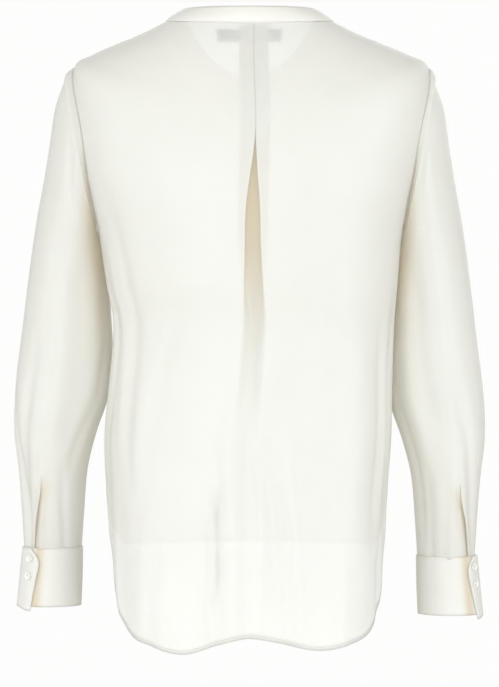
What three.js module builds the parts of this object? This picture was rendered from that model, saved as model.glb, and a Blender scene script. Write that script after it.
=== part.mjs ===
// A woman's long-sleeved silk blouse as it hangs on a wearer, hollow and open at neck, hem and cuffs.
// Millimetres, +Z up, +Y towards the wearer's front, +X towards the wearer's right.
// The origin lies between the two points where the shoulder seams meet the collar band.
import * as THREE from "three";

// ---- driving sizes -------------------------------------------------------------------------
const CLOTH = 1.0; // wall of a single layer
const BAND_CLOTH = 1.6; // wall of the collar band and the cuffs, which are two layers
const SEAM_GAP = 0.3; // clearance between pieces that are sewn together
const BODY_ROOM = 2.6; // clearance of a sleeve's middle layer beside the body's
const BAND_GAP = 0.8; // clearance under the button band
const BUTTON_GAP = 0.7; // clearance under a button, which is flat on curved cloth
const SQUARENESS = 2.3; // how square the body's sections are: 2 is an ellipse
const SHOULDER_ROW = 4; // the ring at the shoulder tips
const UNDERARM_ROW = 7; // the ring at the underarms
const ARMHOLE_CUT = { back: 22, front: 27 }; // degrees that the armhole takes out of each panel
const PLEAT = { half: 16.5, layer: 2.2, closed: 0.95, open: 9.5 }; // half is the underlay's half width
const PLEAT_ENDS = { top: -124, widest: -240, gone: -370, flat: -480 }; // heights where it changes
const PLACKET = { half: 13, lift: 1.7 }; // the front overlap
const BUTTON = { radius: 4.6, thick: 2.2, hole: 0.8, spread: 1.5 };
const FRONT_BUTTON_HEIGHTS = [-112, -192, -272, -352, -432, -512];
const LABEL = { half: 36, high: 14, thick: 0.8 };

// Body rings from the neck seam down. side, back, front: the ring's height at the sides, centre back and
// centre front. half: half width. rear, fore: depth behind and before the shoulder line. shift: sideways.
const RINGS = [
  { side: 0, back: -8, front: -78, half: 97, rear: 66, fore: 74, shift: 0 },
  { side: -13, back: -30, front: -94, half: 123, rear: 80, fore: 90, shift: 0 },
  { side: -25, back: -55, front: -112, half: 152, rear: 94, fore: 103, shift: 0 },
  { side: -37, back: -82, front: -131, half: 180, rear: 106, fore: 113, shift: 1 },
  { side: -52, back: -110, front: -151, half: 203, rear: 115, fore: 121, shift: 2 },
  { side: -100, back: -150, front: -182, half: 204, rear: 123, fore: 129, shift: 2 },
  { side: -160, back: -190, front: -212, half: 195, rear: 128, fore: 134, shift: 1 },
  { side: -232, back: -240, front: -246, half: 176, rear: 129, fore: 136, shift: 1 },
  { side: -300, back: -300, front: -300, half: 167, rear: 126, fore: 131, shift: 3 },
  { side: -350, back: -350, front: -350, half: 161, rear: 121, fore: 126, shift: 5 },
  { side: -420, back: -420, front: -420, half: 163, rear: 120, fore: 124, shift: 1 },
  { side: -480, back: -480, front: -480, half: 165, rear: 123, fore: 124, shift: -2 },
  { side: -540, back: -540, front: -540, half: 162, rear: 126, fore: 123, shift: -3 },
  { side: -610, back: -610, front: -610, half: 161, rear: 128, fore: 121, shift: -2 },
  { side: -720, back: -720, front: -720, half: 158, rear: 128, fore: 119, shift: -1 },
];

// The panels' grid rows, as rows of RINGS down the side seams.
const GRID_ROWS = [0, 1.3, 2.6, 4, 4.2, 4.5, 5, 5.5, 6, 6.5, 6.8, 7, 7.6, 8.3, 9, 9.7, 10.4, 11.1, 11.7, 12.1];

// The hem's height at angles round the body: 0 is centre back, -90 the wearer's left side, 90 the right.
const BACK_HEM = [
  { at: -90, z: -545 },
  { at: -84, z: -590 },
  { at: -70, z: -640 },
  { at: -54, z: -690 },
  { at: -40, z: -706 },
  { at: -26, z: -714 },
  { at: -12, z: -703 },
  { at: 0, z: -696 },
  { at: 12, z: -701 },
  { at: 28, z: -710 },
  { at: 42, z: -704 },
  { at: 56, z: -688 },
  { at: 70, z: -645 },
  { at: 84, z: -590 },
  { at: 90, z: -540 },
];
const FRONT_HEM = { side: -542, centre: -605, sweep: 55 };

// Soft vertical folds of the body: at (degrees), width (degrees), depth (mm, + outwards), from top to foot.
const FOLDS = [
  { at: -46, width: 11, depth: 5, top: -330, foot: -730, lean: 6 },
  { at: -5, width: 4, depth: 4, top: -370, foot: -640, lean: -5 },
  { at: -9, width: 5, depth: -7, top: -480, foot: -720, lean: -5 },
  { at: 8, width: 5, depth: -7, top: -430, foot: -700, lean: 8 },
  { at: 48, width: 12, depth: 5, top: -300, foot: -730, lean: -4 },
  { at: -72, width: 8, depth: -5, top: -260, foot: -560, lean: -6 },
  { at: 74, width: 8, depth: -5, top: -280, foot: -580, lean: 4 },
  { at: 118, width: 12, depth: 5, top: -250, foot: -700, lean: 4 },
  { at: 142, width: 9, depth: -6, top: -280, foot: -700, lean: 5 },
  { at: -120, width: 13, depth: 5, top: -240, foot: -700, lean: -4 },
  { at: -145, width: 9, depth: -6, top: -300, foot: -700, lean: -6 },
];

// Sleeve sections of the wearer's left arm: the outline's outer and inner point, seen from behind,
// the section's middle in depth and its half depth. The armhole itself is the first section.
const SLEEVE = [
  { outX: -213, outZ: -68, inX: -177, inZ: -240, mid: 5, deep: 57 },
  { outX: -224, outZ: -98, inX: -173, inZ: -247, mid: 15, deep: 61 },
  { outX: -231, outZ: -140, inX: -170, inZ: -260, mid: 24, deep: 63 },
  { outX: -239, outZ: -186, inX: -166, inZ: -278, mid: 30, deep: 62 },
  { outX: -247, outZ: -228, inX: -163, inZ: -302, mid: 33, deep: 60 },
  { outX: -256, outZ: -290, inX: -161, inZ: -332, mid: 35, deep: 58 },
  { outX: -264, outZ: -355, inX: -159, inZ: -376, mid: 36, deep: 56 },
  { outX: -272, outZ: -420, inX: -163, inZ: -426, mid: 36, deep: 52 },
  { outX: -273, outZ: -470, inX: -178, inZ: -472, mid: 35, deep: 48 },
  { outX: -268, outZ: -512, inX: -188, inZ: -513, mid: 34, deep: 45 },
  { outX: -264, outZ: -560, inX: -192, inZ: -560, mid: 33, deep: 42 },
  { outX: -262, outZ: -602, inX: -194, inZ: -602, mid: 32, deep: 37 },
];
const CUFF = [
  { outX: -262, outZ: -604, inX: -194, inZ: -604, mid: 32, deep: 36 },
  { outX: -265, outZ: -638, inX: -195, inZ: -638, mid: 33, deep: 37 },
  { outX: -269, outZ: -672, inX: -196, inZ: -672, mid: 34, deep: 38 },
];
// What differs between the arms: the right one hangs a little lower. seam and slit are degrees round the
// arm from its outer side towards the back: of the sleeve's seam at the elbow and of the cuff's free edge.
const ARMS = {
  left: { side: -1, drop: 0, seamTop: 82, seamFoot: 62, edge: 61 },
  right: { side: 1, drop: 10, seamTop: 80, seamFoot: 52, edge: 49 },
};
const SLIT = { row: 9.6, open: 7 }; // where the slit starts, in rows of SLEEVE, and its width in degrees
const CUFF_LAP = 26; // degrees that the cuff's ends lap
const CUFF_LIFT = 2.6; // how far the cuff's upper end stands off the lower one

const CREAM = { color: 0xf1eee2, roughness: 0.42, metalness: 0 };
const PEARL = { color: 0xf3e9d8, roughness: 0.3, metalness: 0 };
const GREY = { color: 0x6d6d6a, roughness: 0.8, metalness: 0 };

// ---- small tools ---------------------------------------------------------------------------
const rad = (degrees) => (degrees * Math.PI) / 180;
const last = (list) => list[list.length - 1];
const clamp = (x, low, high) => Math.min(Math.max(x, low), high);
const lerp = (a, b, share) => a + (b - a) * share;
const smooth = (from, to, x) => {
  const s = clamp((x - from) / (to - from), 0, 1);
  return s * s * (3 - 2 * s);
};

// A smooth curve through one column of a table, at a row number that may be a fraction.
function column(rows, name, row) {
  const end = rows.length - 1;
  const i = clamp(Math.floor(row), 0, end - 1);
  const f = clamp(row, 0, end) - i;
  const [a, b, c, d] = [-1, 0, 1, 2].map((k) => rows[clamp(i + k, 0, end)][name]);
  return b + 0.5 * f * (c - a + f * (2 * a - 5 * b + 4 * c - d + f * (3 * (b - c) + d - a)));
}

// The value of one column at a place given by another, such as the hem's height at an angle.
function lookUp(rows, key, name, place) {
  let i = rows.findIndex((r) => r[key] > place);
  i = i < 0 ? rows.length - 1 : Math.max(i, 1);
  const share = (place - rows[i - 1][key]) / (rows[i][key] - rows[i - 1][key]);
  return column(rows, name, i - 1 + clamp(share, 0, 1));
}

// ---- the body's form -----------------------------------------------------------------------
// How far the cloth stands out (+) or in (-) of the plain ring, at an angle and a height.
function folds(angle, z) {
  let out = 0;
  for (const f of FOLDS) {
    const down = clamp((f.top - z) / (f.top - f.foot), 0, 1);
    const off = (angle - f.at - f.lean * down) / (f.width * (0.6 + 0.6 * down));
    out += f.depth * Math.exp(-off * off) * smooth(0, 0.5, down);
  }
  return out;
}

// A point of the body's cloth. angle is degrees from centre back, row is a row of RINGS.
function body(angle, row) {
  const s = Math.sin(rad(angle));
  const c = Math.cos(rad(angle));
  const k = (Math.abs(s) ** SQUARENESS + Math.abs(c) ** SQUARENESS) ** (-1 / SQUARENESS);
  const get = (name) => column(RINGS, name, row);
  const side = get("side");
  const centre = c > 0 ? get("back") : get("front");
  const z = side + (centre - side) * Math.abs(c) ** 1.6;
  const out = folds(angle, z);
  const depth = c > 0 ? get("rear") : get("fore");
  return new THREE.Vector3((get("half") + out) * s * k + get("shift"), -(depth + out) * c * k, z);
}

// The same point moved out along the cloth's normal.
function bodyOut(angle, row, out) {
  const step = 0.5;
  const p = body(angle, row);
  const across = body(angle + step, row).sub(body(angle - step, row));
  const down = body(angle, row + 0.05).sub(body(angle, row - 0.05));
  return p.addScaledVector(down.cross(across).normalize(), out);
}

// The row of RINGS where the sides reach a height.
function rowAt(z) {
  let [low, high] = [0, RINGS.length - 1];
  for (let i = 0; i < 30; i++) {
    const mid = (low + high) / 2;
    if (column(RINGS, "side", mid) > z) low = mid;
    else high = mid;
  }
  return low;
}

// Degrees from centre back (or centre front) to the panel's edge: shoulder seam, armhole, side seam.
function edgeAngle(row, cut) {
  const tip = SHOULDER_ROW + 0.08;
  const s = clamp((row - tip) / (UNDERARM_ROW - tip), 0, 1);
  const gap = 0.1;
  return 90 - gap - cut * Math.sin(Math.PI * s) ** 0.6;
}

// ---- solids --------------------------------------------------------------------------------
// A closed wall on a grid of points: rows[j][i], thickened half each way along the cloth's normals.
function wall(rows, thickness) {
  const [high, wide] = [rows.length, rows[0].length];
  const at = (j, i) => rows[clamp(j, 0, high - 1)][clamp(i, 0, wide - 1)];
  const position = [];
  for (const side of [1, -1]) {
    for (let j = 0; j < high; j++) {
      for (let i = 0; i < wide; i++) {
        const normal = new THREE.Vector3();
        for (const [dj, di] of [[1, 1], [-1, 1], [1, -1], [-1, -1]]) {
          const along = at(j, i + di).clone().sub(at(j, i)).multiplyScalar(di);
          const down = at(j + dj, i).clone().sub(at(j, i)).multiplyScalar(dj);
          const face = down.cross(along);
          if (face.length() > 1e-9) normal.add(face.normalize());
        }
        const p = at(j, i).clone().addScaledVector(normal.normalize(), (side * thickness) / 2);
        position.push(p.x, p.y, p.z);
      }
    }
  }
  const index = [];
  const inner = high * wide;
  const quad = (a, b, c, d) => index.push(a, b, c, a, c, d);
  for (let j = 0; j + 1 < high; j++) {
    for (let i = 0; i + 1 < wide; i++) {
      const a = j * wide + i;
      quad(a, a + wide, a + wide + 1, a + 1);
      quad(inner + a, inner + a + 1, inner + a + wide + 1, inner + a + wide);
    }
    const [l, r] = [j * wide, j * wide + wide - 1];
    quad(l, inner + l, inner + l + wide, l + wide);
    quad(r, r + wide, inner + r + wide, inner + r);
  }
  for (let i = 0; i + 1 < wide; i++) {
    const foot = (high - 1) * wide + i;
    quad(i, i + 1, inner + i + 1, inner + i);
    quad(foot, inner + foot, inner + foot + 1, foot + 1);
  }
  const geometry = new THREE.BufferGeometry();
  geometry.setAttribute("position", new THREE.Float32BufferAttribute(position, 3));
  geometry.setIndex(index);
  geometry.computeVertexNormals();
  return geometry;
}

const blouse = new THREE.Group();

function addPiece(name, geometry, look) {
  const mesh = new THREE.Mesh(geometry, new THREE.MeshStandardMaterial({ ...look, name }));
  mesh.name = name;
  blouse.add(mesh);
  return mesh;
}

const grid = (high, wide, point) =>
  Array.from({ length: high + 1 }, (_, j) =>
    Array.from({ length: wide + 1 }, (_, i) => point(j / high, i / wide, j, i)),
  );

// ---- back: one panel with an inverted box pleat --------------------------------------------
// Half the gap between the pleat's edges at a height: sewn shut above, open below, then soft.
function pleatGap(z) {
  const open = smooth(PLEAT_ENDS.top, PLEAT_ENDS.widest, z);
  const ease = smooth(PLEAT_ENDS.widest, PLEAT_ENDS.gone, z);
  return PLEAT.closed + PLEAT.open * open + 5 * ease;
}

// The pleat's cloth from its left edge to its right one: [sideways, inwards] at a height.
function pleatPath(z) {
  const gap = pleatGap(z);
  const ease = smooth(PLEAT_ENDS.widest, PLEAT_ENDS.gone, z);
  const soft = 1 - 0.85 * smooth(PLEAT_ENDS.gone, PLEAT_ENDS.flat, z);
  const vee = 3 * smooth(PLEAT_ENDS.top, PLEAT_ENDS.widest, z);
  const { half, layer } = PLEAT;
  const left = [
    [-gap, 0],
    [lerp(-gap, -gap + 2, ease), lerp(layer, 3 * soft, ease)],
    [lerp(-half, -gap + 4.5, ease), lerp(layer, 6 * soft, ease)],
    [lerp(-half, -gap + 7.5, ease), lerp(2 * layer, 8.5 * soft, ease)],
  ];
  const right = left.map(([w, d]) => [-w, d]).reverse();
  return [...left, [0, lerp(2 * layer + vee, 10 * soft, ease)], ...right];
}

const GRID_SHARES = GRID_ROWS.map((row) => row / last(GRID_ROWS));

function backPanel() {
  const wide = 10; // cells each side of the pleat
  const rows = [];
  for (const share of GRID_SHARES) {
    const place = (angle) => {
      const foot = rowAt(lookUp(BACK_HEM, "at", "z", angle));
      return SEAM_GAP / 20 + (foot - SEAM_GAP / 20) * share;
    };
    const points = [];
    const middle = place(0);
    const path = pleatPath(body(0, middle).z);
    const half = column(RINGS, "half", middle);
    const angleOf = (w) => (Math.asin(clamp(w / half, -1, 1)) * 180) / Math.PI;
    for (const side of [-1, 1]) {
      const run = [];
      for (let i = 0; i < wide; i++) {
        const out = 1 - i / wide;
        let row = place(side * 90 * out);
        const from = angleOf(pleatGap(body(0, row).z));
        const angle = side * lerp(from, edgeAngle(row, ARMHOLE_CUT.back), out);
        row = place(angle);
        run.push(body(side * lerp(from, edgeAngle(row, ARMHOLE_CUT.back), out), row));
      }
      if (side < 0) {
        points.push(...run);
        for (const [w, d] of path) points.push(bodyOut(angleOf(w), place(angleOf(w)), -d));
      } else points.push(...run.reverse());
    }
    rows.push(points);
  }
  return wall(rows, CLOTH);
}

// ---- fronts --------------------------------------------------------------------------------
// lap is where the front's inner edge lies past centre front, in mm, and lift how far it stands out there.
function frontPanel(side, lift) {
  const edge = (row) => {
    const half = column(RINGS, "half", row);
    return (Math.asin(PLACKET.half / half) * 180) / Math.PI;
  };
  const hem = (fromCentre) =>
    lerp(FRONT_HEM.centre, FRONT_HEM.side, smooth(FRONT_HEM.sweep, 90, fromCentre));
  return wall(
    grid(GRID_ROWS.length - 1, 12, (_, across, j) => {
      const start = SEAM_GAP / 20;
      const fromCentre = lerp(-4, 90, across);
      const row = start + (rowAt(hem(fromCentre)) - start) * GRID_SHARES[j];
      const off = lerp(-edge(row), edgeAngle(row, ARMHOLE_CUT.front), across);
      const shape = lift * (1 - smooth(edge(row), edge(row) + 8, off));
      return side > 0
        ? bodyOut(180 - off, row, shape)
        : bodyOut(-180 + off, row, shape);
    }).map((r) => (side > 0 ? r.reverse() : r)),
    CLOTH,
  );
}

// The button band, a second layer sewn along the upper front's edge.
function buttonBand() {
  const foot = rowAt(FRONT_HEM.centre + 1);
  return wall(
    grid(18, 2, (down, across) => {
      const row = lerp(0.08, foot, down);
      const half = column(RINGS, "half", row);
      const off = (Math.asin((PLACKET.half * lerp(1, -1, across)) / half) * 180) / Math.PI;
      return bodyOut(180 - off, row, PLACKET.lift + CLOTH + BAND_GAP);
    }).map((r) => r.reverse()),
    CLOTH,
  );
}

// ---- collar band ---------------------------------------------------------------------------
function collarBand() {
  const top = { side: 14, back: 12, front: -57, half: 76, rear: 60, fore: 62 };
  return wall(
    grid(2, 40, (up, round) => {
      const angle = lerp(-178.5, 178.5, round);
      const s = Math.sin(rad(angle));
      const c = Math.cos(rad(angle));
      const seam = body(angle, 0);
      const centre = c > 0 ? top.back : top.front;
      const depth = c > 0 ? top.rear : top.fore;
      const rim = new THREE.Vector3(
        top.half * s,
        -depth * c,
        top.side + (centre - top.side) * Math.abs(c) ** 1.6,
      );
      const from = 0.05; // the band starts just above the body's cloth
      const p = seam.lerp(rim, lerp(1, from, up));
      const bulge = 1.6 * Math.sin(Math.PI * up);
      return p.add(new THREE.Vector3(s * bulge, -c * bulge, 0));
    }),
    BAND_CLOTH,
  );
}

// ---- sleeves and cuffs ---------------------------------------------------------------------
// A point of an arm's cloth: turn is degrees from the outer side by way of the back.
function armPoint(rows, arm, turn, row, out = 0) {
  const get = (name) => column(rows, name, row);
  const [ox, oz, ix, iz] = ["outX", "outZ", "inX", "inZ"].map(get);
  const c = Math.cos(rad(turn));
  const s = Math.sin(rad(turn));
  const fall = (z) => z - arm.drop * smooth(-60, -420, z);
  const [mx, mz] = [(ox + ix) / 2, (oz + iz) / 2];
  const reach = Math.hypot(ox - ix, oz - iz) / 2;
  const grow = 1 + out / reach;
  return new THREE.Vector3(
    -arm.side * (mx + ((ox - ix) / 2) * c * grow),
    get("mid") - (get("deep") + out) * s,
    fall(mz + ((oz - iz) / 2) * c * grow),
  );
}

// A point of the armhole, moved out of the body so that the sleeve's head clears the panels.
function armholePoint(arm, turn) {
  const back = turn < 180;
  const share = back ? turn / 180 : (360 - turn) / 180;
  const ease = 0.5 - 0.5 * Math.cos(Math.PI * share);
  const row = lerp(SHOULDER_ROW, UNDERARM_ROW, lerp(share, ease, 0.5));
  const edge = edgeAngle(row, back ? ARMHOLE_CUT.back : ARMHOLE_CUT.front);
  const p = body(arm.side * (back ? edge : 180 - edge), row);
  const away = CLOTH + 2 * SEAM_GAP;
  p.x += arm.side * away;
  p.z -= away * smooth(90, 0, Math.abs(180 - turn));
  return p;
}

// Moves a point of a sleeve sideways until it clears the body's cloth.
function clearOfBody(p, arm, room) {
  const row = rowAt(p.z);
  const get = (name) => column(RINGS, name, row);
  const out = Math.max(folds((Math.atan2(p.x, -p.y) * 180) / Math.PI, p.z), 0);
  const t = Math.abs(p.y) / ((p.y < 0 ? get("rear") : get("fore")) + out);
  if (t >= 1) return p;
  const reach = (get("half") + out) * (1 - t ** SQUARENESS) ** (1 / SQUARENESS);
  const least = reach + arm.side * get("shift") + room;
  p.x = arm.side * Math.max(arm.side * p.x, least);
  return p;
}

function sleeve(arm) {
  const foot = SLEEVE.length - 1;
  const rows = grid(18, 18, (down, round) => {
    const row = lerp(-1, foot, down);
    const seam = lerp(arm.seamTop, arm.seamFoot, smooth(2, foot, row));
    const open = SLIT.open * smooth(SLIT.row, foot, row) + 0.35;
    const turn = seam + open + round * (360 - 2 * open);
    const wrapped = ((turn % 360) + 360) % 360;
    const away = clearOfBody(armPoint(SLEEVE, arm, wrapped, Math.max(row, 0)), arm, BODY_ROOM);
    return row > 0 ? away : armholePoint(arm, wrapped).lerp(away, row + 1);
  });
  return wall(arm.side < 0 ? rows.map((r) => r.reverse()) : rows, CLOTH);
}

function cuff(arm) {
  const rows = grid(2, 24, (down, round) => {
    const turn = lerp(arm.edge - CUFF_LAP, arm.edge + 360, round);
    const lift = CUFF_LIFT * smooth(arm.edge + 360 - CUFF_LAP - 40, arm.edge + 360 - CUFF_LAP, turn);
    return armPoint(CUFF, arm, turn, 2 * down, lift);
  });
  return wall(arm.side < 0 ? rows.map((r) => r.reverse()) : rows, BAND_CLOTH);
}

// ---- buttons and label ---------------------------------------------------------------------
function buttonGeometry() {
  const shape = new THREE.Shape().absarc(0, 0, BUTTON.radius, 0, 2 * Math.PI);
  for (const [x, y] of [[1, 1], [-1, 1], [-1, -1], [1, -1]]) {
    const hole = new THREE.Path();
    hole.absarc(x * BUTTON.spread, y * BUTTON.spread, BUTTON.hole, 0, 2 * Math.PI, true);
    shape.holes.push(hole);
  }
  return new THREE.ExtrudeGeometry(shape, {
    depth: BUTTON.thick,
    bevelEnabled: false,
    curveSegments: 3,
  });
}

// A button whose back is at a point and whose face looks along a direction.
function addButton(name, place, facing) {
  const button = addPiece(name, buttonGeometry(), PEARL);
  button.position.copy(place);
  button.quaternion.setFromUnitVectors(new THREE.Vector3(0, 0, 1), facing.clone().normalize());
}

function addCuffButtons(label, arm) {
  [0.3, 0.74].forEach((down, n) => {
    const turn = arm.edge - 11;
    const row = 2 * down * 0.72;
    const place = armPoint(CUFF, arm, turn, row, CUFF_LIFT + BAND_CLOTH / 2 + BUTTON_GAP);
    const next = armPoint(CUFF, arm, turn, row, CUFF_LIFT + 12);
    const inward = armPoint(CUFF, arm, turn, row, CUFF_LIFT);
    addButton(`cuff_${label}_button_${n + 1}`, place, next.sub(inward));
  });
}

function neckLabel() {
  return wall(
    grid(2, 8, (down, across) => {
      const row = 0.3 + (down * LABEL.high) / 22;
      const half = column(RINGS, "half", row);
      const angle = (Math.asin((LABEL.half * lerp(-1, 1, across)) / half) * 180) / Math.PI;
      return bodyOut(angle, row, -(2 * PLEAT.layer + CLOTH + 2 * SEAM_GAP));
    }),
    LABEL.thick,
  );
}

// ---- assembly ------------------------------------------------------------------------------
addPiece("back", backPanel(), CREAM);
addPiece("front_left", frontPanel(-1, 0), CREAM);
addPiece("front_right", frontPanel(1, PLACKET.lift), CREAM);
addPiece("button_band", buttonBand(), CREAM);
addPiece("collar_band", collarBand(), CREAM);
for (const [label, arm] of Object.entries(ARMS)) {
  addPiece(`sleeve_${label}`, sleeve(arm), CREAM);
  addPiece(`cuff_${label}`, cuff(arm), CREAM);
  addCuffButtons(label, arm);
}
FRONT_BUTTON_HEIGHTS.forEach((z, n) => {
  let [low, high] = [0, RINGS.length - 1];
  for (let i = 0; i < 30; i++) {
    const mid = (low + high) / 2;
    if (body(180, mid).z > z) low = mid;
    else high = mid;
  }
  const surface = PLACKET.lift + 1.5 * CLOTH + BAND_GAP + BUTTON_GAP;
  const place = bodyOut(180, low, surface);
  addButton(`front_button_${n + 1}`, place, bodyOut(180, low, surface + 10).sub(place));
});
addPiece("neck_label", neckLabel(), GREY);

export default blouse;
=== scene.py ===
"""A long-sleeved ivory silk blouse, hollow as worn: cloth shells, buttons, finishes, light and camera."""

import math

import bmesh
import bpy
from mathutils import Matrix, Vector


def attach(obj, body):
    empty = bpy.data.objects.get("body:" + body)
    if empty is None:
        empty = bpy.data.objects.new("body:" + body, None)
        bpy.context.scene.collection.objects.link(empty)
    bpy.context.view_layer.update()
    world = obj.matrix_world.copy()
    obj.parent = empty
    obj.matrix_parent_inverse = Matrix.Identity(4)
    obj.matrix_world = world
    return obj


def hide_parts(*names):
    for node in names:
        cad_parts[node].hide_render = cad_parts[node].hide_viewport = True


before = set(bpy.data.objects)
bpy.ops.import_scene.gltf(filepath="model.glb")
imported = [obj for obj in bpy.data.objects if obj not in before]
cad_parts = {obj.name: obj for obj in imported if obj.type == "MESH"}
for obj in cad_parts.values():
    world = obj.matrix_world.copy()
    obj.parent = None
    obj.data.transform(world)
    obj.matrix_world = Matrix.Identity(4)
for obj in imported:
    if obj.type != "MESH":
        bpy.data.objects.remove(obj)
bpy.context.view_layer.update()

MM = 0.001

# ---- sizes, in millimetres -----------------------------------------------------------------
CLOTH = 0.5  # one layer of silk
BAND_CLOTH = 1.5  # the collar band and cuffs: two layers and their stiffening
SQUARE = 2.3  # how square the body's sections are: 2 is an ellipse
SHOULDER_ROW = 4.08  # the ring at the shoulder tips
UNDERARM_ROW = 7  # the ring at the underarms
CUT_BACK, CUT_FRONT = 22, 27  # degrees that the armhole takes out of each panel
PLEAT_HALF, PLEAT_LAYER, PLEAT_CLOSED, PLEAT_OPEN = 16.5, 1.3, 0.27, 8.5
PLACKET_HALF, PLACKET_LIFT = 13, 1.7
FRONT_BAND_CLOTH = 0.9  # the button band along the right front
LABEL_CLOTH = 0.4
CUFF_LAP, CUFF_LIFT = 26, 2.4
SLIT_ROW = 9.2  # the section of the arm where the sleeve's slit starts
PLEAT_TOP, PLEAT_WIDEST, PLEAT_GONE, PLEAT_FLAT = -124, -240, -370, -480  # heights

# Body rings from the neck seam down: height at the sides, centre back and centre front, half width,
# depth behind and before the shoulder line, sideways shift.
RING = ("side", "back", "front", "half", "rear", "fore", "shift")
RINGS = [
    (0, -8, -78, 97, 66, 74, 0),
    (-13, -30, -94, 123, 80, 90, 0),
    (-25, -55, -112, 152, 94, 103, 0),
    (-37, -82, -131, 180, 106, 113, 1),
    (-52, -110, -151, 203, 115, 121, 2),
    (-100, -150, -182, 204, 123, 129, 2),
    (-160, -190, -212, 195, 128, 134, 1),
    (-232, -240, -246, 176, 129, 136, 1),
    (-300, -300, -300, 167, 126, 131, 3),
    (-350, -350, -350, 161, 121, 126, 5),
    (-420, -420, -420, 163, 120, 124, 1),
    (-480, -480, -480, 165, 123, 124, -2),
    (-540, -540, -540, 162, 126, 123, -3),
    (-610, -610, -610, 161, 128, 121, -2),
    (-720, -720, -720, 158, 128, 119, -1),
]

# The back hem's height at angles round the body: 0 is centre back, -90 the wearer's left side.
BACK_HEM = [
    (-90, -545), (-84, -590), (-70, -640), (-54, -690), (-40, -706), (-26, -714), (-12, -703), (0, -696),
    (12, -701), (28, -710), (42, -704), (56, -688), (70, -645), (84, -590), (90, -540),
]
FRONT_HEM_SIDE, FRONT_HEM_CENTRE = -542, -605

# Folds of the body: place and width in degrees, depth (+ outwards), top and foot heights, lean in degrees.
FOLDS = [
    (-46, 11, 5, -330, -730, 6),
    (-5, 4, 4, -370, -640, -5),
    (-9, 5, -7, -480, -720, -5),
    (8, 5, -7, -430, -700, 8),
    (48, 12, 5, -300, -730, -4),
    (-72, 8, -5, -260, -560, -6),
    (74, 8, -5, -280, -580, 4),
    (118, 12, 5, -250, -700, 4),
    (142, 9, -6, -280, -700, 5),
    (-120, 13, 5, -240, -700, -4),
    (-145, 9, -6, -300, -700, -6),
]
# Finer creases that only this model has, laid out the same way; they fade at both ends.
CREASES = [
    (-11, 1.7, -3.0, -520, -650, -3),
    (-14, 2.2, 1.6, -500, -700, -4),
    (4, 2.0, 1.3, -470, -640, 3),
    (17, 2.4, 1.4, -480, -700, 5),
    (-30, 3.5, -1.4, -300, -560, -14),
    (-58, 3.2, -1.8, -190, -520, 10),
    (-66, 2.2, 1.2, -240, -470, 9),
    (-80, 3.0, -2.0, -220, -420, 6),
    (30, 3.5, -1.0, -260, -600, 6),
    (60, 2.5, -1.7, -330, -560, -3),
    (66, 2.0, 1.5, -350, -560, -2),
    (81, 2.5, -1.8, -240, -470, -4),
    (36, 3.0, 1.2, -560, -730, 2),
    (-38, 3.0, -1.3, -580, -730, -2),
    (-62, 2.6, 1.4, -560, -700, 2),
    (64, 2.8, -1.4, -560, -700, -3),
    (100, 3.0, -2.0, -230, -500, 5),
    (128, 4.0, 1.8, -240, -560, 7),
    (160, 3.5, -1.6, -330, -600, 3),
    (-103, 3.0, -2.0, -230, -480, -5),
    (-131, 4.0, 1.8, -260, -560, -6),
    (-158, 3.5, -1.4, -300, -600, -2),
]

# Sections of the left arm: x and z of the outer point, x and z of the inner one, middle in depth, half depth.
SLEEVE = [
    (-213, -68, -177, -240, 5, 57),
    (-224, -98, -173, -247, 15, 61),
    (-231, -140, -170, -260, 24, 63),
    (-239, -186, -166, -278, 30, 62),
    (-247, -228, -163, -302, 33, 60),
    (-256, -290, -161, -332, 35, 58),
    (-264, -355, -159, -376, 36, 56),
    (-272, -420, -163, -426, 36, 52),
    (-273, -470, -178, -472, 35, 48),
    (-268, -512, -188, -513, 34, 45),
    (-264, -560, -192, -560, 33, 42),
    (-261, -607, -195, -607, 32, 35.4),
]
CUFF = [(-262, -604, -194, -604, 32, 36), (-265, -638, -195, -638, 33, 37), (-269, -672, -196, -672, 34, 38)]
# side, how much lower it hangs, the sleeve seam's turn at the top, slit and foot, the cuff's free edge's turn
ARMS = {"left": (-1, 0, 82, 75, 53, 61), "right": (1, 10, 80, 69, 43, 49)}
# How the cuff's free edge bows from its top to its foot, in degrees.
BOW = {"left": [(-12,), (8,), (5,), (1,), (-2,)], "right": [(-13,), (3,), (0,), (-6,), (-12,)]}
# Creases of a sleeve: turn at the top and foot (degrees), width (degrees), depth, first and last section.
SLEEVE_CREASES = {
    "left": [
        (52, 40, 9, -3.5, 5.6, 11.3), (100, 112, 13, -3.0, 3.5, 9.0), (128, 140, 11, 3.0, 2.5, 9.0),
        (6, 46, 9, -5.0, 6.6, 11.7), (78, 92, 8, -2.2, 0.2, 3.0), (150, 120, 8, -2.6, 5.5, 9.5),
        (75, 70, 6, 2.0, 8.0, 11.5), (110, 122, 8, -2.2, 8.5, 12.0), (235, 250, 12, -3.5, 4.0, 10.0),
        (300, 290, 11, -3.0, 5.0, 11.0), (330, 335, 8, 2.6, 7.0, 12.0), (200, 215, 9, -2.8, 7.0, 12.0),
    ],
    "right": [
        (70, 34, 10, -3.4, 6.0, 11.3), (112, 100, 13, -2.6, 3.0, 8.5), (135, 120, 10, 2.8, 3.0, 9.5),
        (86, 96, 8, -2.0, 0.3, 3.4), (150, 140, 8, -3.0, 6.0, 11.0), (84, 88, 7, 1.8, 8.0, 11.8),
        (120, 128, 8, -2.2, 8.5, 12.0), (238, 225, 12, -3.5, 4.0, 10.0), (305, 300, 11, -3.0, 5.0, 11.0),
        (334, 330, 8, 2.4, 7.0, 12.0), (196, 210, 9, -2.8, 7.0, 12.0),
    ],
}


# ---- small tools ---------------------------------------------------------------------------
def clamp(x, low, high):
    return min(max(x, low), high)


def lerp(a, b, s):
    return a + (b - a) * s


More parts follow.
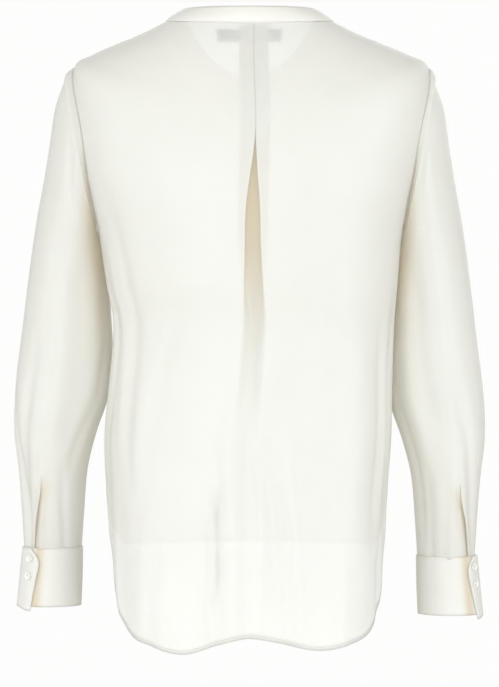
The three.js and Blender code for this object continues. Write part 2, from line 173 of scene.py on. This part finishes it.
def smooth(start, end, x):
    s = clamp((x - start) / (end - start), 0, 1)
    return s * s * (3 - 2 * s)


def curve(rows, col, row):
    """A smooth curve through one column of a table, at a row number that may be a fraction."""
    end = len(rows) - 1
    i = int(clamp(math.floor(row), 0, end - 1))
    f = clamp(row, 0, end) - i
    a, b, c, d = (rows[int(clamp(i + k, 0, end))][col] for k in (-1, 0, 1, 2))
    return b + 0.5 * f * (c - a + f * (2 * a - 5 * b + 4 * c - d + f * (3 * (b - c) + d - a)))


def ring(name, row):
    return curve(RINGS, RING.index(name), row)


def hem_at(angle):
    i = next((k for k, r in enumerate(BACK_HEM) if r[0] > angle), len(BACK_HEM) - 1)
    i = max(i, 1)
    low, high = BACK_HEM[i - 1][0], BACK_HEM[i][0]
    return curve(BACK_HEM, 1, i - 1 + clamp((angle - low) / (high - low), 0, 1))


# ---- the body's form -----------------------------------------------------------------------
def folds(angle, z):
    out = 0.0
    for at, width, depth, top, foot, lean in FOLDS:
        down = clamp((top - z) / (top - foot), 0, 1)
        off = (angle - at - lean * down) / (width * (0.6 + 0.6 * down))
        out += depth * math.exp(-off * off) * smooth(0, 0.5, down)
    return out


def creases(angle, z):
    out = 0.0
    for at, width, depth, top, foot, lean in CREASES:
        down = (top - z) / (top - foot)
        if -0.1 < down < 1.3:
            wave = 0.8 * math.sin(7 * down + at)
            off = (angle - at - lean * down - wave) / width
            out += depth * math.exp(-off * off) * smooth(-0.1, 0.35, down) * (1 - smooth(0.75, 1.3, down))
    return out


def body(angle, row, fine=1.6):
    """A point of the body's cloth: angle is degrees from centre back, row a row of RINGS."""
    s, c = math.sin(math.radians(angle)), math.cos(math.radians(angle))
    k = (abs(s) ** SQUARE + abs(c) ** SQUARE) ** (-1 / SQUARE)
    side, centre = ring("side", row), ring("back" if c > 0 else "front", row)
    z = side + (centre - side) * abs(c) ** 1.6
    out = folds(angle, z) + fine * creases(angle, z)
    depth = ring("rear" if c > 0 else "fore", row)
    return Vector(((ring("half", row) + out) * s * k + ring("shift", row), -(depth + out) * c * k, z))


def body_out(angle, row, out):
    """The same point moved out along the cloth's normal."""
    across = body(angle + 0.5, row) - body(angle - 0.5, row)
    down = body(angle, row + 0.05) - body(angle, row - 0.05)
    return body(angle, row) + down.cross(across).normalized() * out


ROW_STEPS = 1400
ROW_HEIGHTS = [ring("side", i * (len(RINGS) - 1) / ROW_STEPS) for i in range(ROW_STEPS + 1)]


def row_at(z):
    """The row of RINGS where the sides reach a height."""
    low, high = 0, ROW_STEPS
    while high - low > 1:
        mid = (low + high) // 2
        if ROW_HEIGHTS[mid] > z:
            low = mid
        else:
            high = mid
    share = (ROW_HEIGHTS[low] - z) / max(ROW_HEIGHTS[low] - ROW_HEIGHTS[high], 1e-6)
    return (low + clamp(share, 0, 1)) * (len(RINGS) - 1) / ROW_STEPS


def edge_angle(row, cut):
    """Degrees from centre back or front to a panel's edge: shoulder seam, armhole, side seam."""
    s = clamp((row - SHOULDER_ROW) / (UNDERARM_ROW - SHOULDER_ROW), 0, 1)
    return 90 - 0.1 - cut * math.sin(math.pi * s) ** 0.6


# ---- building cloth ------------------------------------------------------------------------
SHOWN = bpy.context.scene.collection


def cloth(
    name, rows, thickness, material, node,
    closed=False, hem=None, shade_at=None,
):
    """A shell on a grid of points, rows[j][i], in millimetres, that stands for one node.

    Its UV map is metres across and metres above its foot. hem(i, j) gives a point's distance from the hem in
    metres, and the second function its share of painted shade: the warm dark colour of cloth lying in a
    fold's shadow. closed joins the points that lie on each other.
    """
    bm = bmesh.new()
    uv = bm.loops.layers.uv.new("cloth")
    edge = bm.verts.layers.float.new("hem")
    shade_paint = bm.verts.layers.float.new("shade_paint")
    wide = len(rows[0])
    bmesh.ops.create_grid(bm, x_segments=wide - 1, y_segments=len(rows) - 1, size=1)
    bm.verts.ensure_lookup_table()
    order = sorted(bm.verts, key=lambda v: (-round(v.co.y, 5), v.co.x))
    place = {}
    for j, row in enumerate(rows):
        for i, p in enumerate(row):
            v = order[j * wide + i]
            v.co = Vector(p) * MM
            place[v] = (i, j)
            v[edge] = hem(i, j) if hem else 1.0
            # painted shade: each point's share of the warm dark shade colour
            v[shade_paint] = shade_at(i, j) if shade_at else 0.0
    foot = [0.0] * wide
    height = {}
    for j in range(len(rows) - 1, -1, -1):
        for i in range(wide):
            if j < len(rows) - 1:
                foot[i] += (Vector(rows[j][i]) - Vector(rows[j + 1][i])).length
            height[i, j] = foot[i] * MM
    middle = rows[len(rows) // 2]
    across = [0.0]
    for i in range(1, wide):
        across.append(across[-1] + (Vector(middle[i]) - Vector(middle[i - 1])).length * MM)
    for f in bm.faces:
        f.smooth = True
        for loop in f.loops:
            i, j = place[loop.vert]
            loop[uv].uv = (across[i], height[i, j])
    if closed:
        bmesh.ops.remove_doubles(bm, verts=bm.verts, dist=1e-6)
    mesh = bpy.data.meshes.new(name)
    bm.to_mesh(mesh)
    bm.free()
    mesh.materials.append(material)
    piece = bpy.data.objects.new(name, mesh)
    SHOWN.objects.link(piece)
    wall = piece.modifiers.new("wall", "SOLIDIFY")
    wall.thickness = thickness * MM
    wall.offset = 0
    wall.use_even_offset = False
    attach(piece, "root")
    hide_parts(node)
    return piece


def grid(high, wide, point):
    return [[point(j / high, i / wide) for i in range(wide + 1)] for j in range(high + 1)]


# ---- shaders -------------------------------------------------------------------------------
class Sock:
    """A shader value that can be added, multiplied and compared like a number."""

    def __init__(self, tree, socket):
        self.tree, self.socket = tree, socket

    def math(self, kind, *others, first=None):
        n = self.tree.nodes.new("ShaderNodeMath")
        n.operation = kind
        for k, v in enumerate([self, *others] if first is None else [first, self, *others]):
            feed(self.tree, n.inputs[k], v)
        return Sock(self.tree, n.outputs[0])

    def __add__(self, o):
        return self.math("ADD", o)

    def __radd__(self, o):
        return self.math("ADD", first=o)

    def __sub__(self, o):
        return self.math("SUBTRACT", o)

    def __rsub__(self, o):
        return self.math("SUBTRACT", first=o)

    def __mul__(self, o):
        return self.math("MULTIPLY", o)

    def __rmul__(self, o):
        return self.math("MULTIPLY", first=o)

    def step(self, low, high):
        n = self.tree.nodes.new("ShaderNodeMapRange")
        n.interpolation_type = "SMOOTHSTEP"
        feed(self.tree, n.inputs["Value"], self)
        n.inputs["From Min"].default_value = low
        n.inputs["From Max"].default_value = high
        return Sock(self.tree, n.outputs["Result"])


def feed(tree, target, value):
    if isinstance(value, Sock):
        tree.links.new(value.socket, target)
    else:
        target.default_value = value


def add(tree, kind, output=0, settings=None, **inputs):
    """One shader node with its settings and inputs; returns the output asked for."""
    n = tree.nodes.new(kind)
    for k, v in (settings or {}).items():
        setattr(n, k, v)
    for k, v in inputs.items():
        feed(tree, n.inputs[k.replace("_", " ")], v)
    return Sock(tree, n.outputs[output])


def material(name):
    m = bpy.data.materials.new(name)
    m.use_nodes = True
    m.node_tree.nodes.clear()
    return m, m.node_tree


def silk_material(name, base, through, glow):
    """Satin: a soft sheen, light through it (glow) and what lies behind it faintly seen (through), with
    painted shade mixed into its colour where the cloth's shade attribute asks for it.
    """
    m, t = material(name)
    place = add(t, "ShaderNodeTexCoord", "Object")
    uv = add(t, "ShaderNodeUVMap", 0, {"uv_map": "cloth"})
    hem = add(t, "ShaderNodeAttribute", "Fac", {"attribute_name": "hem"})
    soft = add(t, "ShaderNodeTexNoise", 0, Vector=place, Scale=14.0, Detail=3.0, Roughness=0.55)
    slub = add(t, "ShaderNodeTexNoise", 0, Vector=uv, Scale=900.0, Detail=2.0)
    stitch_line = hem.step(0.0032, 0.0036) * (1 - hem.step(0.0040, 0.0044))
    relief = soft * 1.0 + slub * 0.02 + stitch_line * -0.12
    bump = add(t, "ShaderNodeBump", 0, Strength=0.55, Distance=0.004, Height=relief)
    tint = add(t, "ShaderNodeMix", 2, {"data_type": "RGBA"})
    mix = tint.socket.node
    feed(t, mix.inputs[0], soft.step(0.35, 0.65))
    mix.inputs[6].default_value = (*base, 1)
    mix.inputs[7].default_value = (*[b * 0.985 for b in base], 1)
    # painted shade: where a point's shade attribute is high, the colour is mixed towards the warm dark colour
    # of cloth in a fold's shadow
    shade_paint = add(t, "ShaderNodeAttribute", "Fac", {"attribute_name": "shade_paint"})
    deep = add(t, "ShaderNodeMix", 2, {"data_type": "RGBA"})
    depth = deep.socket.node
    feed(t, depth.inputs[0], shade_paint)
    feed(t, depth.inputs[6], tint)
    depth.inputs[7].default_value = (*FOLD_SHADE_PAINT, 1)
    face = add(
        t, "ShaderNodeBsdfPrincipled", 0,
        Base_Color=deep, Roughness=0.34, Normal=bump, Anisotropic=0.35,
        Specular_IOR_Level=0.5, Sheen_Weight=0.15, Sheen_Roughness=0.4,
    )
    through_color = (base[0], base[1] * 0.985, base[2] * 0.93, 1)
    behind = add(t, "ShaderNodeBsdfTranslucent", 0, Color=through_color, Normal=bump)
    clear = add(t, "ShaderNodeBsdfTransparent", 0, Color=(0.975, 0.985, 1.0, 1))
    lit = add(t, "ShaderNodeMixShader", 0, Fac=glow)
    t.links.new(face.socket, lit.socket.node.inputs[1])
    t.links.new(behind.socket, lit.socket.node.inputs[2])
    seen = add(t, "ShaderNodeMixShader", 0, Fac=through * hem.step(0.0036, 0.0044))
    t.links.new(lit.socket, seen.socket.node.inputs[1])
    t.links.new(clear.socket, seen.socket.node.inputs[2])
    out = t.nodes.new("ShaderNodeOutputMaterial")
    t.links.new(seen.socket, out.inputs["Surface"])
    return m


def plain_material(name, base, roughness, coat=0.0):
    m, t = material(name)
    place = add(t, "ShaderNodeTexCoord", "Object")
    cloud = add(t, "ShaderNodeTexNoise", 0, Vector=place, Scale=260.0, Detail=3.0)
    tint = add(t, "ShaderNodeMix", 2, {"data_type": "RGBA"})
    mix = tint.socket.node
    feed(t, mix.inputs[0], cloud.step(0.3, 0.7))
    mix.inputs[6].default_value = (*base, 1)
    mix.inputs[7].default_value = (*[b * 0.93 for b in base], 1)
    face = add(t, "ShaderNodeBsdfPrincipled", 0, Base_Color=tint, Roughness=roughness, Coat_Weight=coat)
    out = t.nodes.new("ShaderNodeOutputMaterial")
    t.links.new(face.socket, out.inputs["Surface"])
    return m


IVORY = (0.94, 0.918, 0.868)
FOLD_SHADE_PAINT = (0.74, 0.60, 0.40)  # painted shade: the warm dark colour of cloth in a fold's shadow, mixed into the base colour
silk = silk_material("silk", IVORY, 0.32, 0.30)
silk_dense = silk_material("silk_doubled", IVORY, 0.05, 0.30)
pearl = plain_material("button_pearl", (0.88, 0.84, 0.76), 0.22, 0.5)
# painted shade: the dark colour of the discs that stand for the buttons' holes, the shade down inside them
hole_shade = plain_material("button_hole_shade", (0.28, 0.25, 0.2), 0.7)
label_weave = plain_material("label_weave", (0.075, 0.075, 0.072), 0.8)


# ---- back ----------------------------------------------------------------------------------
def pleat_gap(z):
    open_ = PLEAT_OPEN * smooth(PLEAT_TOP, PLEAT_WIDEST, z)
    return PLEAT_CLOSED + open_ + 5 * smooth(PLEAT_WIDEST, PLEAT_GONE, z)


def pleat_path(z):
    """The pleat's cloth from its left edge to its middle: (sideways, inwards), a few points on each turn."""
    gap, ease = pleat_gap(z), smooth(PLEAT_WIDEST, PLEAT_GONE, z)
    soft = 1 - 0.85 * smooth(PLEAT_GONE, PLEAT_FLAT, z)
    vee = 3 * smooth(PLEAT_TOP, PLEAT_WIDEST, z)
    d, half = PLEAT_LAYER, PLEAT_HALF
    folded = [
        (-gap, 0), (-gap + 0.15, 0.3 * d), (-gap, 0.75 * d), (-gap - 1.2, d), (-0.5 * (gap + half), d),
        (-half + 1, d), (-half, 1.3 * d), (-half + 0.1, 1.7 * d), (-half + 1.4, 2 * d),
        (-0.6 * half, 2 * d + 0.25 * vee), (-0.3 * half, 2 * d + 0.6 * vee), (0, 2 * d + vee),
    ]
    n = len(folded) - 1
    return [
        (lerp(w, -gap * (1 - k / n), ease), lerp(e, 10 * soft * math.sin(0.5 * math.pi * k / n) ** 1.5, ease))
        for k, (w, e) in enumerate(folded)
    ]


def spread(count, low, high, crowd):
    """Shares from low to high, closer together at the ends as crowd grows."""
    return [lerp(low, high, lerp(s, smooth(0, 1, s), crowd)) for s in (k / count for k in range(count + 1))]


def back_rows():
    wide, high = 46, 150
    outs = [1 - i / wide for i in range(wide)] + [0.012, 0.003]
    rows = []
    for share in spread(high, 0, 1, 0.15):
        def place(angle):
            return 0.015 + (row_at(hem_at(angle)) - 0.015) * share

        middle = place(0)
        z = body(0, middle, 0).z
        half = ring("half", middle)

        def angle_of(w):
            return math.degrees(math.asin(clamp(w / half, -1, 1)))

        lean = angle_of(5.0 * smooth(-430, -60, z))
        sides = []
        for side in (-1, 1):
            run = []
            for out in outs:
                row = place(side * 90 * out)
                start = angle_of(pleat_gap(z))
                angle = side * lerp(start, edge_angle(row, CUT_BACK), out)
                row = place(angle)
                run.append(body(side * lerp(start, edge_angle(row, CUT_BACK), out) + lean * (1 - out), row))
            sides.append(run)
        path = pleat_path(z)
        path = path + [(-w, d) for w, d in reversed(path[:-1])]
        middle_run = [body_out(angle_of(w) + lean, place(angle_of(w) + lean), -d) for w, d in path]
        rows.append([*sides[0], *middle_run, *reversed(sides[1])])
    return rows


def from_foot(rows):
    """A function giving each grid point's distance above its foot, in metres."""
    high = len(rows)
    far = {}
    for i in range(len(rows[0])):
        total = 0.0
        for j in range(high - 1, -1, -1):
            if j < high - 1:
                total += (Vector(rows[j][i]) - Vector(rows[j + 1][i])).length
            far[i, j] = total * MM
    return lambda i, j: far[i, j]


def pleat_shade_paint(rows):
    """Painted shade on the back, 0 to 1: deep in the open pleat, and faintly near the side edges down from
    the underarms.
    """
    first, count = 48, 23

    def shade_at(i, j):
        k = (i - first) / (count - 1)
        z = rows[j][i].z
        if not 0 <= k <= 1:
            # outside the pleat: faint painted shade along the side edges
            side = max(0.0, 1 - min(i, len(rows[0]) - 1 - i) / 5)
            return 0.22 * side * smooth(-120, -200, z) * (1 - smooth(-430, -520, z))
        # inside the open pleat: painted shade, strongest at the pleat's middle
        along = smooth(-118, -165, z) * (1 - smooth(-215, -400, z))
        return 0.9 * along * math.sin(math.pi * k) ** 0.7

    return shade_at


rows = back_rows()
cloth(
    "back", rows, CLOTH, silk, "back",
    hem=from_foot(rows), shade_at=pleat_shade_paint(rows),
)


# ---- fronts --------------------------------------------------------------------------------
def front_point(side, lift, fine=1.0):
    def point(down, across):
        off_share = lerp(-4, 90, across)
        foot = row_at(lerp(FRONT_HEM_CENTRE, FRONT_HEM_SIDE, smooth(55, 90, off_share)))
        row = 0.015 + (foot - 0.015) * down
        edge = math.degrees(math.asin(PLACKET_HALF / ring("half", row)))
        off = lerp(-edge, edge_angle(row, CUT_FRONT), across)
        shape = lift * (1 - smooth(edge, edge + 8, off))
        # a pressed tuck runs down from the shoulder
        tuck = 1.4 * math.exp(-(((off - lerp(46, 52, down)) / 1.2) ** 2)) * (1 - smooth(0.16, 0.3, down))
        return body_out(180 - off if side > 0 else -180 + off, row, shape + tuck * fine)

    return point


def front_rows(side, lift):
    rows = grid(90, 60, front_point(side, lift))
    return [list(reversed(r)) for r in rows] if side > 0 else rows


for label, side, lift in (("left", -1, 0.0), ("right", 1, PLACKET_LIFT)):
    rows = front_rows(side, lift)
    name = f"front_{label}"
    cloth(name, rows, CLOTH, silk, name, hem=from_foot(rows))


def band_point(half, out):
    foot = row_at(FRONT_HEM_CENTRE + 1)

    def point(down, across):
        row = lerp(0.08, foot, down)
        off = math.degrees(math.asin(half * lerp(1, -1, across) / ring("half", row)))
        return body_out(180 - off, row, out)

    return point


rows = [list(reversed(r)) for r in grid(90, 8, band_point(PLACKET_HALF, PLACKET_LIFT + 1.4))]
cloth("button_band", rows, FRONT_BAND_CLOTH, silk_dense, "button_band")


# ---- collar band ---------------------------------------------------------------------------
def collar_point(up, round_):
    angle = lerp(-178.5, 178.5, round_)
    s, c = math.sin(math.radians(angle)), math.cos(math.radians(angle))
    k = abs(c) ** 1.6
    rim = Vector((76 * s, -(60 if c > 0 else 62) * c, 14 + ((12 if c > 0 else -57) - 14) * k))
    p = body(angle, 0).lerp(rim, lerp(1, 0.05, up))
    bulge = 1.6 * math.sin(math.pi * up)
    return p + Vector((s * bulge, -c * bulge, 0))


cloth(
    "collar_band", grid(8, 150, collar_point), BAND_CLOTH, silk_dense, "collar_band",
)


# ---- sleeves and cuffs ---------------------------------------------------------------------
def arm_point(table, arm, turn, row, out=0.0):
    side, drop = ARMS[arm][:2]
    ox, oz, ix, iz, mid, deep = (curve(table, k, row) for k in range(6))
    c, s = math.cos(math.radians(turn)), math.sin(math.radians(turn))
    reach = math.hypot(ox - ix, oz - iz) / 2
    grow = 1 + out / reach
    z = (oz + iz) / 2 + (oz - iz) / 2 * c * grow
    return Vector((
        -side * ((ox + ix) / 2 + (ox - ix) / 2 * c * grow),
        mid - (deep + out) * s,
        z - drop * smooth(-60, -420, z),
    ))


def armhole_point(arm, turn):
    side = ARMS[arm][0]
    back_half = turn < 180
    share = turn / 180 if back_half else (360 - turn) / 180
    ease = 0.5 - 0.5 * math.cos(math.pi * share)
    row = lerp(4, UNDERARM_ROW, lerp(share, ease, 0.5))
    edge = edge_angle(row, CUT_BACK if back_half else CUT_FRONT)
    p = body(side * (edge if back_half else 180 - edge), row)
    away = 0.6
    p.x += side * away
    p.z -= away * smooth(90, 0, abs(180 - turn))
    return p


def clear_of_body(p, arm, room):
    """Moves a point of a sleeve sideways until it clears the body's cloth."""
    side = ARMS[arm][0]
    row = row_at(p.z)
    out = max(folds(math.degrees(math.atan2(p.x, -p.y)), p.z), 0)
    t = abs(p.y) / (ring("rear" if p.y < 0 else "fore", row) + out)
    if t < 1:
        reach = (ring("half", row) + out) * (1 - t**SQUARE) ** (1 / SQUARE)
        p.x = side * max(side * p.x, reach + side * ring("shift", row) + room)
    return p


def sleeve_creases(arm, turn, row):
    out = 0.0
    for top, foot, width, depth, first, final in SLEEVE_CREASES[arm]:
        down = (row - first) / (final - first)
        if 0 < down < 1:
            away = (turn - lerp(top, foot, down) - 2 * math.sin(5 * down + top) + 180) % 360 - 180
            fade = smooth(0, 0.3, down) * (1 - smooth(0.7, 1, down))
            out += depth * math.exp(-((away / width) ** 2)) * fade
    return out


def seam_turn(arm, row):
    top, slit, foot = ARMS[arm][2:5]
    return lerp(lerp(top, slit, smooth(2, SLIT_ROW, row)), foot, smooth(SLIT_ROW, len(SLEEVE) - 0.8, row))


def sleeve_rows(arm):
    side = ARMS[arm][0]
    foot = len(SLEEVE) - 1

    def point(down, round_):
        row = lerp(-1, foot, down)
        # at the slit the inner end tucks in under the outer one
        tuck = smooth(SLIT_ROW, 9.9, row)
        turn = (seam_turn(arm, row) + lerp(-9 * tuck, 360, round_)) % 360
        level = max(row, 0)
        out = sleeve_creases(arm, turn, level)
        gape = math.sin(math.pi * smooth(SLIT_ROW, foot, row))
        out -= 3.2 * tuck * math.exp(-((round_ * 360 / 11) ** 2))
        out += (0.3 * tuck + 2.4 * gape) * math.exp(-(((1 - round_) * 360 / 12) ** 2))
        near = min(round_, 1 - round_) * 360
        out += -0.35 * math.exp(-((near / 3) ** 2)) * smooth(1, 5, row) * (1 - smooth(8.5, 9.6, row))
        away = clear_of_body(arm_point(SLEEVE, arm, turn, level, out), arm, 1.2)
        if row > 0:
            return away
        head = armhole_point(arm, turn).lerp(away, row + 1)
        bulge = 3.0 * math.sin(math.pi * (row + 1)) * smooth(100, 20, min(turn, 360 - turn))
        return head + Vector((side * bulge, 0, bulge * 0.5))

    rows = grid(130, 110, point)
    return [list(reversed(r)) for r in rows] if side < 0 else rows


def sleeve_shade_paint(arm, rows):
    """Painted shade where the sleeve lies against the body and inside the slit."""
    side = ARMS[arm][0]
    high, wide = len(rows) - 1, len(rows[0]) - 1
    foot = len(SLEEVE) - 1

    def shade_at(i, j):
        row = lerp(-1, foot, j / high)
        round_ = 1 - i / wide if side < 0 else i / wide
        turn = seam_turn(arm, row) + 360 * round_
        beside = math.exp(-(((turn - 142) / 28) ** 2)) * smooth(-1, 0.5, row) * (1 - smooth(3, 7.5, row))
        slit = math.exp(-((360 * round_ / 17) ** 2)) * smooth(9.1, 9.7, row)
        return 0.75 * beside + 0.75 * slit

    return shade_at


def cuff_shade_paint(arm, wide=110):
    """Painted shade on the lower end, just beside the upper end's free edge, and a faint band of it farther
    round.
    """
    side = ARMS[arm][0]

    def shade_at(i, j):
        round_ = 1 - i / wide if side < 0 else i / wide
        past = lerp(-CUFF_LAP, 360, round_)
        return 0.7 * math.exp(-(((past - 6) / 11) ** 2)) + 0.25 * math.exp(-(((past - 120) / 18) ** 2))

    return shade_at


def cuff_rows(arm, high=14):
    side, edge = ARMS[arm][0], ARMS[arm][5]

    def point(down, round_):
        turn = lerp(edge - CUFF_LAP, edge + 360, round_)
        bow = curve(BOW[arm], 0, 4 * down) * smooth(edge + 318, edge + 360, turn)
        lift = CUFF_LIFT * smooth(edge + 320 - CUFF_LAP, edge + 360 - CUFF_LAP, turn)
        pull = 0.7 * math.sin(math.radians(2 * turn + 30)) * math.sin(math.pi * down)
        p = arm_point(CUFF, arm, turn + bow, 2 * down, lift + pull)
        p.z -= 5.0 * math.exp(-(((turn - edge - 360) / 22) ** 2)) * down**2
        return p

    rows = grid(high, 110, point)
    return [list(reversed(r)) for r in rows] if side < 0 else rows


for arm in ARMS:
    rows = sleeve_rows(arm)
    cloth(
        f"sleeve_{arm}", rows, CLOTH, silk, f"sleeve_{arm}",
        closed=True, shade_at=sleeve_shade_paint(arm, rows),
    )
    cloth(
        f"cuff_{arm}", cuff_rows(arm), BAND_CLOTH, silk_dense, f"cuff_{arm}",
        shade_at=cuff_shade_paint(arm),
    )


# ---- buttons -------------------------------------------------------------------------------
HOLE_SIDES = 14


def button(name, place, facing, node):
    """A round four-hole button with a raised rim, its back at a point and its face along a direction."""
    bm = bmesh.new()
    # (radius, height) from the middle of the face, over the rim, to the middle of the back
    profile = [
        (0.0, 1.15), (2.9, 1.15), (3.3, 1.35), (3.9, 1.9), (4.3, 1.9),
        (4.6, 1.5), (4.5, 0.6), (3.6, 0.1), (0.0, 0.0),
    ]
    count = 40
    loops = []
    for r, h in profile:
        if r == 0:
            loops.append([bm.verts.new((0, 0, h * MM))])
        else:
            turns = [2 * math.pi * k / count for k in range(count)]
            loops.append([bm.verts.new((r * MM * math.cos(a), r * MM * math.sin(a), h * MM)) for a in turns])
    for a, b in zip(loops, loops[1:]):
        for k in range(count):
            n = (k + 1) % count
            corners = [a[k % len(a)], b[k % len(b)], b[n % len(b)], a[n % len(a)]]
            unique = list(dict.fromkeys(corners))
            bm.faces.new(unique)
    bmesh.ops.recalc_face_normals(bm, faces=bm.faces)
    for f in bm.faces:
        f.smooth = True
    # the holes are not cut: four dark discs just above the face stand for them, painted shade
    for x in (-1.2, 1.2):
        for y in (-1.2, 1.2):
            spot = Matrix.Translation((x * MM, y * MM, 1.18 * MM))
            bmesh.ops.create_circle(bm, cap_ends=True, segments=HOLE_SIDES, radius=0.55 * MM, matrix=spot)
    for f in bm.faces:
        f.material_index = 1 if len(f.verts) == HOLE_SIDES else 0
    turn = Vector((0, 0, 1)).rotation_difference(Vector(facing).normalized()).to_matrix().to_4x4()
    bmesh.ops.transform(bm, matrix=Matrix.Translation(Vector(place) * MM) @ turn, verts=bm.verts)
    mesh = bpy.data.meshes.new(name)
    bm.to_mesh(mesh)
    bm.free()
    mesh.materials.append(pearl)
    mesh.materials.append(hole_shade)
    piece = bpy.data.objects.new(name, mesh)
    SHOWN.objects.link(piece)
    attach(piece, "root")
    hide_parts(node)
    return piece


for arm in ARMS:
    edge = ARMS[arm][5]
    for n, down in enumerate((0.3, 0.66), 1):
        row = 2 * down * 0.72
        out = CUFF_LIFT + BAND_CLOTH / 2 + 0.15
        place = arm_point(CUFF, arm, edge - 11, row, out)
        facing = arm_point(CUFF, arm, edge - 11, row, out + 10) - place
        button(f"cuff_{arm}_button_{n}", place, facing, f"cuff_{arm}_button_{n}")

for n, z in enumerate((-112, -192, -272, -352, -432, -512), 1):
    low, high = 0.0, len(RINGS) - 1.0
    for _ in range(30):
        mid = (low + high) / 2
        low, high = (mid, high) if body(180, mid, 0).z > z else (low, mid)
    place = body_out(180, low, PLACKET_LIFT + 2.1)
    button(f"front_button_{n}", place, body_out(180, low, 14) - place, f"front_button_{n}")


# ---- label ---------------------------------------------------------------------------------
def label_point(down, across):
    row = 0.3 + down * 14 / 22
    angle = math.degrees(math.asin(36 * lerp(-1, 1, across) / ring("half", row)))
    return body_out(angle, row, -(2 * PLEAT_LAYER + 2.0))


tag = cloth(
    "neck_label", grid(6, 30, label_point), LABEL_CLOTH, label_weave, "neck_label",
)


# ---- floor, light and camera ---------------------------------------------------------------
def staged(name, verts, faces, mat):
    mesh = bpy.data.meshes.new(name)
    mesh.from_pydata(verts, [], faces)
    mesh.materials.append(mat)
    obj = bpy.data.objects.new(name, mesh)
    SHOWN.objects.link(obj)
    return obj


def glow_material(name, color, strength):
    m, t = material(name)
    glow = add(t, "ShaderNodeEmission", 0, Color=(*color, 1), Strength=strength)
    out = t.nodes.new("ShaderNodeOutputMaterial")
    t.links.new(glow.socket, out.inputs["Surface"])
    return m


sweep = [(0.0, -1.5), (5.0, -1.5), (6.2, -1.1), (6.6, 0.0), (6.6, 6.0)]
turns = [math.radians(6 * k) for k in range(60)]
floor = staged(
    "studio_sweep",
    [(r * math.cos(a), r * math.sin(a), z) for r, z in sweep for a in turns],
    [
        (60 * k + i, 60 * k + 60 + i, 60 * k + 60 + (i + 1) % 60, 60 * k + (i + 1) % 60)
        for k in range(len(sweep) - 1)
        for i in range(60)
    ],
    glow_material("sweep_white", (0.985, 0.985, 0.98), 1.0),
)
floor.visible_glossy = False
floor.visible_diffuse = False
floor.visible_transmission = False
for f in floor.data.polygons:
    f.use_smooth = True


def lamp(name, place, aim, size, power, color):
    light = bpy.data.lights.new(name, "AREA")
    light.shape = "RECTANGLE"
    light.size, light.size_y = size
    light.energy = power
    light.color = color
    obj = bpy.data.objects.new(name, light)
    obj.location = place
    obj.rotation_euler = (Vector(aim) - Vector(place)).to_track_quat("-Z", "Y").to_euler()
    SHOWN.objects.link(obj)


lamp("key", (-0.9, -3.3, -0.15), (0, 0, -0.35), (3.2, 2.4), 56, (0.90, 0.965, 1.0))
lamp("fill", (2.3, -2.0, -0.2), (0, 0, -0.35), (2.4, 2.4), 46, (0.89, 0.97, 1.0))
lamp("side", (-2.6, -1.2, -0.2), (0, 0, -0.35), (2.0, 2.4), 26, (0.90, 0.97, 1.0))
lamp("front_soft", (0.6, 3.4, 0.6), (0, 0, -0.35), (3.0, 2.4), 34, (0.93, 0.97, 1.0))

world = bpy.data.worlds.new("studio")
bpy.context.scene.world = world
world.use_nodes = True
world.node_tree.nodes["Background"].inputs["Color"].default_value = (0.98, 0.985, 1.0, 1)
world.node_tree.nodes["Background"].inputs["Strength"].default_value = 0.60

lens = bpy.data.cameras.new("camera")
lens.sensor_fit = "VERTICAL"
lens.sensor_height = 36
lens.lens = 150.4
camera = bpy.data.objects.new("camera", lens)
camera.location = (0, -3.3, -0.369)
camera.rotation_euler = (math.radians(90), 0, 0)
SHOWN.objects.link(camera)
bpy.context.scene.camera = camera
bpy.context.scene.view_settings.view_transform = "Standard"
